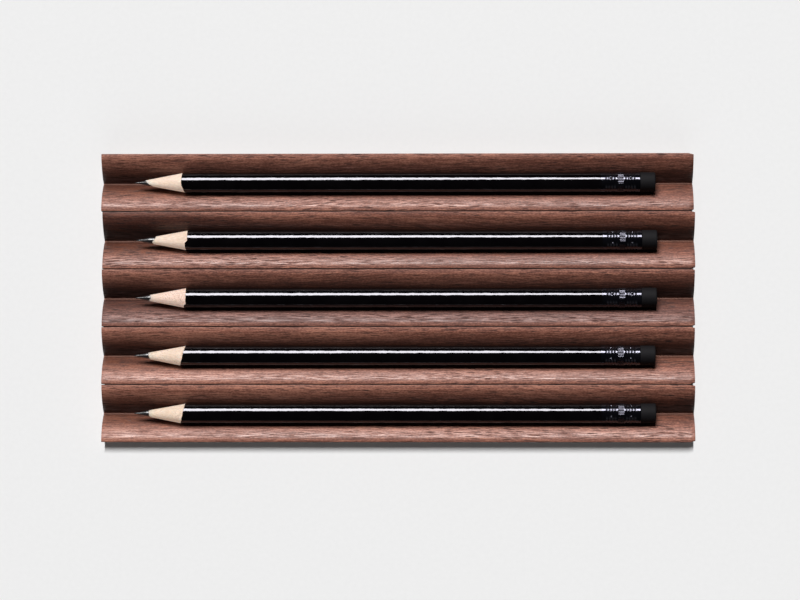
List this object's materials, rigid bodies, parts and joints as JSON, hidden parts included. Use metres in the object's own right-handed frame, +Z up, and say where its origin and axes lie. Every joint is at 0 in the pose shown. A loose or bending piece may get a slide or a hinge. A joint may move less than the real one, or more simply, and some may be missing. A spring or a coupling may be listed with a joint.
{
  "type": "pen tray with pencils",
  "caption": "Walnut pen tray of grooved strips joined side by side, each groove cradling a round black pencil with a ferrule and eraser that lifts out.",
  "frame": {"origin": "middle of the tray's footprint, on the surface that its pads stand on", "axes": "+X along the grooves towards the erasers, +Y to the back of the tray, +Z up"},
  "size_m": [0.2164, 0.1052, 0.0148],
  "materials": {
    "walnut": "satin",
    "beech": "matte",
    "felt": "matte",
    "lacquered_wood": "gloss",
    "graphite": "satin",
    "black_metal": "gloss",
    "black_rubber": "matte"
  },
  "bodies": {
    "tray": {"tray_strip_1": "walnut", "tray_strip_2": "walnut", "tray_strip_3": "walnut", "tray_strip_4": "walnut", "tray_strip_5": "walnut", "joining_dowels": "beech", "felt_pads": "felt"},
    "pencil_1": {"pencil_1_casing": "lacquered_wood", "pencil_1_lead": "graphite", "pencil_1_ferrule": "black_metal", "pencil_1_eraser": "black_rubber"},
    "pencil_2": {"pencil_2_casing": "lacquered_wood", "pencil_2_lead": "graphite", "pencil_2_ferrule": "black_metal", "pencil_2_eraser": "black_rubber"},
    "pencil_3": {"pencil_3_casing": "lacquered_wood", "pencil_3_lead": "graphite", "pencil_3_ferrule": "black_metal", "pencil_3_eraser": "black_rubber"},
    "pencil_4": {"pencil_4_casing": "lacquered_wood", "pencil_4_lead": "graphite", "pencil_4_ferrule": "black_metal", "pencil_4_eraser": "black_rubber"},
    "pencil_5": {"pencil_5_casing": "lacquered_wood", "pencil_5_lead": "graphite", "pencil_5_ferrule": "black_metal", "pencil_5_eraser": "black_rubber"}
  },
  "joints": [
    {"name": "pencil_1_lift", "type": "slide", "parent": "tray", "child": "pencil_1", "axis": [0, 0, 1], "range_m": [0, 0.04]},
    {"name": "pencil_2_lift", "type": "slide", "parent": "tray", "child": "pencil_2", "axis": [0, 0, 1], "range_m": [0, 0.04]},
    {"name": "pencil_3_lift", "type": "slide", "parent": "tray", "child": "pencil_3", "axis": [0, 0, 1], "range_m": [0, 0.04]},
    {"name": "pencil_4_lift", "type": "slide", "parent": "tray", "child": "pencil_4", "axis": [0, 0, 1], "range_m": [0, 0.04]},
    {"name": "pencil_5_lift", "type": "slide", "parent": "tray", "child": "pencil_5", "axis": [0, 0, 1], "range_m": [0, 0.04]}
  ]
}
